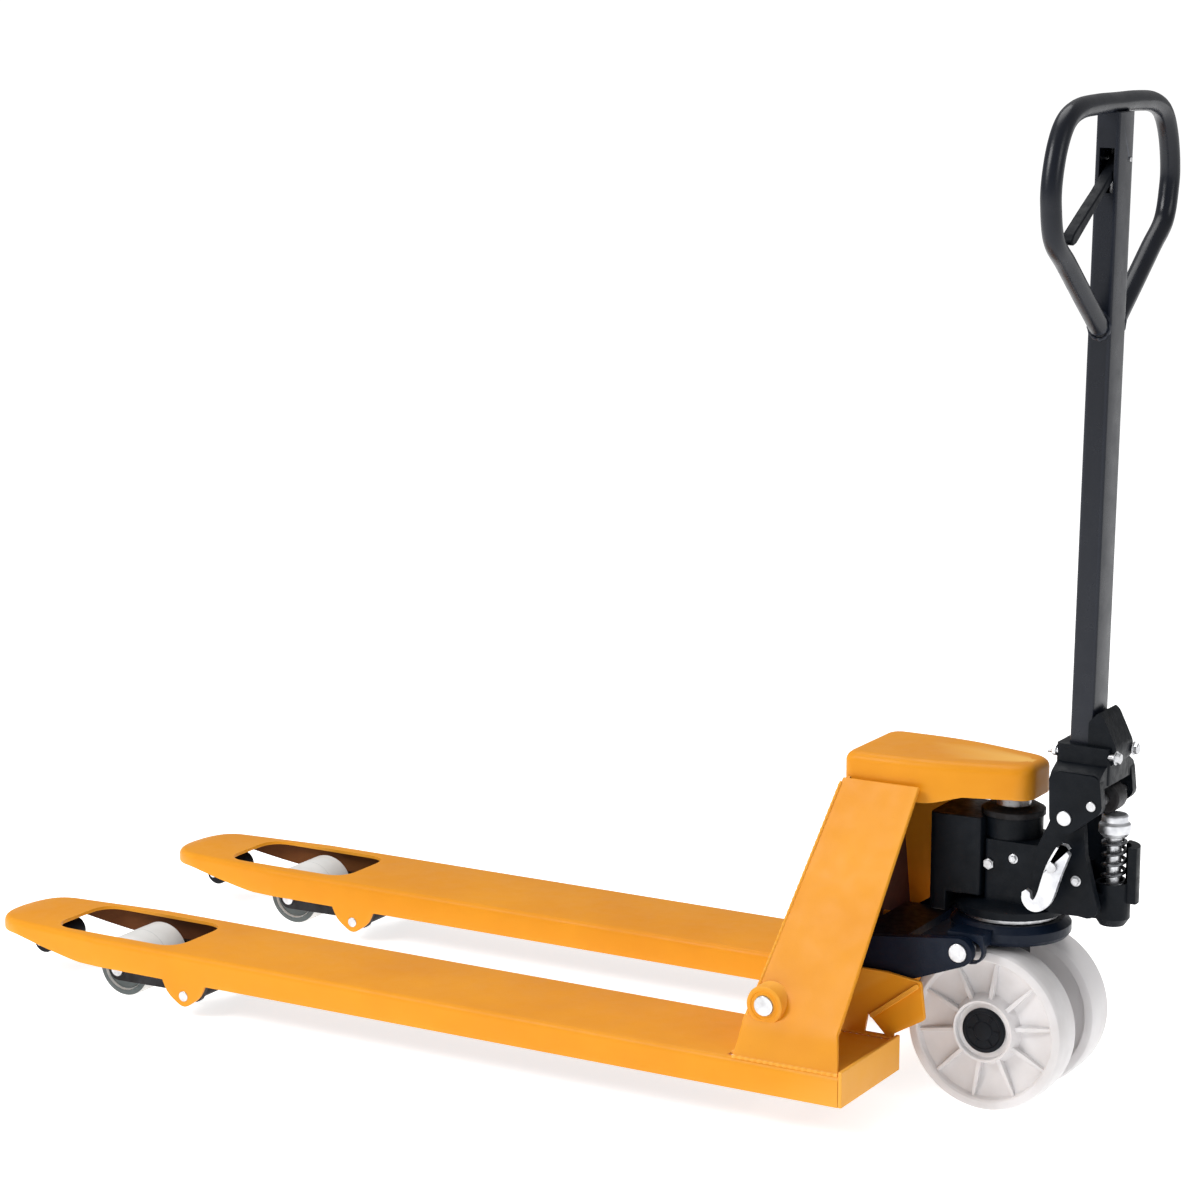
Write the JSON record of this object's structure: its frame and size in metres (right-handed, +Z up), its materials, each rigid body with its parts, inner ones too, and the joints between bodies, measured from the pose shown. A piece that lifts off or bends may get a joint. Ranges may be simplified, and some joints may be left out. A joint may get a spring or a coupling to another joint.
{
  "type": "hand pallet truck",
  "caption": "Hand pallet truck: a pair of tapered forks, a sloping frame with a top cover, a hydraulic pump on steering wheels, and an upright handle ending in a loop grip.",
  "frame": {"origin": "middle of the object's length and width, on the floor it stands on", "axes": "+X from the fork tips to the handle, +Y to the right of the truck seen from the handle, +Z up"},
  "size_m": [1.543, 0.552, 1.2101],
  "materials": {
    "yellow_paint": "gloss",
    "black_paint": "gloss",
    "navy_paint": "gloss",
    "dark_steel": "satin",
    "bright_steel": "satin",
    "zinc_plate": "satin",
    "white_nylon": "satin",
    "black_plastic": "satin"
  },
  "bodies": {
    "base": {"thrust_plate": "navy_paint", "thrust_bearing": "bright_steel"},
    "chassis": {"fork_left": "yellow_paint", "fork_right": "yellow_paint", "heel_end_plate_left": "yellow_paint", "heel_end_plate_right": "yellow_paint", "heel_gusset_left": "yellow_paint", "heel_gusset_right": "yellow_paint", "side_plate_left": "yellow_paint", "side_plate_right": "yellow_paint", "shaft_boss_left": "yellow_paint", "shaft_boss_right": "yellow_paint", "front_plate": "yellow_paint", "top_cover": "yellow_paint", "ram_cup": "dark_steel", "ram": "bright_steel", "frame_pin_left": "bright_steel", "frame_pin_right": "bright_steel", "entry_axle_left": "bright_steel", "entry_axle_right": "bright_steel"},
    "rocker": {"rocker_arm": "navy_paint", "rocker_shaft": "bright_steel", "rocker_pin_left": "bright_steel", "rocker_pin_right": "bright_steel", "crank_left": "dark_steel", "crank_right": "dark_steel"},
    "push_rod_l": {"push_rod_left": "dark_steel"},
    "push_rod_r": {"push_rod_right": "dark_steel"},
    "roller_frame_l": {"roller_frame_left": "dark_steel", "roller_axle_left": "bright_steel"},
    "roller_frame_r": {"roller_frame_right": "dark_steel", "roller_axle_right": "bright_steel"},
    "load_roller_l": {"load_roller_left": "white_nylon"},
    "load_roller_r": {"load_roller_right": "white_nylon"},
    "entry_roller_l": {"entry_roller_left": "black_plastic"},
    "entry_roller_r": {"entry_roller_right": "black_plastic"},
    "pump": {"pump_body": "black_paint", "oil_reservoir": "black_paint", "cylinder_cap": "dark_steel", "filler_plug": "bright_steel", "wheel_axle": "bright_steel", "return_spring": "zinc_plate", "release_pin": "dark_steel"},
    "wheel_l": {"steer_wheel_left": "white_nylon", "hub_cap_left": "black_plastic"},
    "wheel_r": {"steer_wheel_right": "white_nylon", "hub_cap_right": "black_plastic"},
    "handle": {"handle_socket": "black_paint", "pivot_pin": "bright_steel", "pressure_axle": "bright_steel", "clamp_bolt_left": "bright_steel", "clamp_bolt_right": "bright_steel", "handle_tube": "black_paint", "grip_loop": "black_paint", "lever_pin": "bright_steel"},
    "pressure_roller_body": {"pressure_roller": "dark_steel"},
    "plunger_body": {"plunger": "zinc_plate"},
    "lever": {"control_lever": "black_plastic"},
    "pull_rod_body": {"pull_rod": "zinc_plate"},
    "release": {"release_lever": "zinc_plate"}
  },
  "joints": [
    {"name": "lift", "type": "slide", "parent": "base", "child": "chassis", "axis": [0, 0, 1], "range_m": [0, 0.115]},
    {"name": "rocker_hinge", "type": "hinge", "parent": "chassis", "child": "rocker", "pos_m": [0.3985, 0, 0.141], "axis": [0, 1, 0], "range_deg": [0, 33]},
    {"name": "push_rod_slide_l", "type": "slide", "parent": "chassis", "child": "push_rod_l", "axis": [1, 0, 0], "range_m": [-0.0397, 0]},
    {"name": "roller_frame_hinge_l", "type": "hinge", "parent": "chassis", "child": "roller_frame_l", "pos_m": [-0.4295, -0.195, 0.029], "axis": [0, 1, 0], "range_deg": [-61.2, 0]},
    {"name": "load_roller_spin_l", "type": "hinge", "parent": "roller_frame_l", "child": "load_roller_l", "pos_m": [-0.5545, -0.195, 0.04], "axis": [0, 1, 0], "continuous": true},
    {"name": "entry_roller_spin_l", "type": "hinge", "parent": "chassis", "child": "entry_roller_l", "pos_m": [-0.6975, -0.195, 0.052], "axis": [0, 1, 0], "continuous": true},
    {"name": "push_rod_slide_r", "type": "slide", "parent": "chassis", "child": "push_rod_r", "axis": [1, 0, 0], "range_m": [-0.0397, 0]},
    {"name": "roller_frame_hinge_r", "type": "hinge", "parent": "chassis", "child": "roller_frame_r", "pos_m": [-0.4295, 0.195, 0.029], "axis": [0, 1, 0], "range_deg": [-61.2, 0]},
    {"name": "load_roller_spin_r", "type": "hinge", "parent": "roller_frame_r", "child": "load_roller_r", "pos_m": [-0.5545, 0.195, 0.04], "axis": [0, 1, 0], "continuous": true},
    {"name": "entry_roller_spin_r", "type": "hinge", "parent": "chassis", "child": "entry_roller_r", "pos_m": [-0.6975, 0.195, 0.052], "axis": [0, 1, 0], "continuous": true},
    {"name": "steer", "type": "hinge", "parent": "base", "child": "pump", "pos_m": [0.6115, 0, 0.2], "axis": [0, 0, 1], "range_deg": [-90, 90]},
    {"name": "wheel_spin_l", "type": "hinge", "parent": "pump", "child": "wheel_l", "pos_m": [0.6115, -0.052, 0.1], "axis": [0, 1, 0], "continuous": true},
    {"name": "wheel_spin_r", "type": "hinge", "parent": "pump", "child": "wheel_r", "pos_m": [0.6115, 0.052, 0.1], "axis": [0, 1, 0], "continuous": true},
    {"name": "handle_tilt", "type": "hinge", "parent": "pump", "child": "handle", "pos_m": [0.6985, 0, 0.369], "axis": [0, 1, 0], "range_deg": [0, 70], "stiffness_Nm_per_rad": 32, "springref_deg": -8.59},
    {"name": "pressure_roller_spin", "type": "hinge", "parent": "handle", "child": "pressure_roller_body", "pos_m": [0.73177, 0, 0.38751], "axis": [0, 1, 0], "continuous": true},
    {"name": "plunger_slide", "type": "slide", "parent": "pump", "child": "plunger_body", "axis": [0, 0, 1], "range_m": [-0.0435, 0], "deforming": ["return_spring"]},
    {"name": "lever_hinge", "type": "hinge", "parent": "handle", "child": "lever", "pos_m": [0.71352, 0.012, 1.13386], "axis": [-0.9999, 0, 0.0147], "range_deg": [0, 26], "stiffness_Nm_per_rad": 0.9, "springref_deg": -20.05},
    {"name": "pull_rod_slide", "type": "slide", "parent": "handle", "child": "pull_rod_body", "axis": [0.0147, 0, 0.9999], "range_m": [0, 0.0085]},
    {"name": "release_hinge", "type": "hinge", "parent": "pump", "child": "release", "pos_m": [0.6905, -0.066, 0.312], "axis": [0, 1, 0], "range_deg": [-16, 0]}
  ],
  "couplings": [
    {"joint": "rocker_hinge", "follows": "lift", "rad_per_m": 5.004},
    {"joint": "plunger_slide", "follows": "handle_tilt", "m_per_rad": -0.0355},
    {"joint": "pull_rod_slide", "follows": "lever_hinge", "m_per_rad": 0.015},
    {"joint": "release_hinge", "follows": "lever_hinge", "ratio": -0.6},
    {"joint": "push_rod_slide_l", "follows": "lift", "ratio": -0.343},
    {"joint": "roller_frame_hinge_l", "follows": "lift", "rad_per_m": -9.258},
    {"joint": "push_rod_slide_r", "follows": "lift", "ratio": -0.343},
    {"joint": "roller_frame_hinge_r", "follows": "lift", "rad_per_m": -9.258}
  ]
}
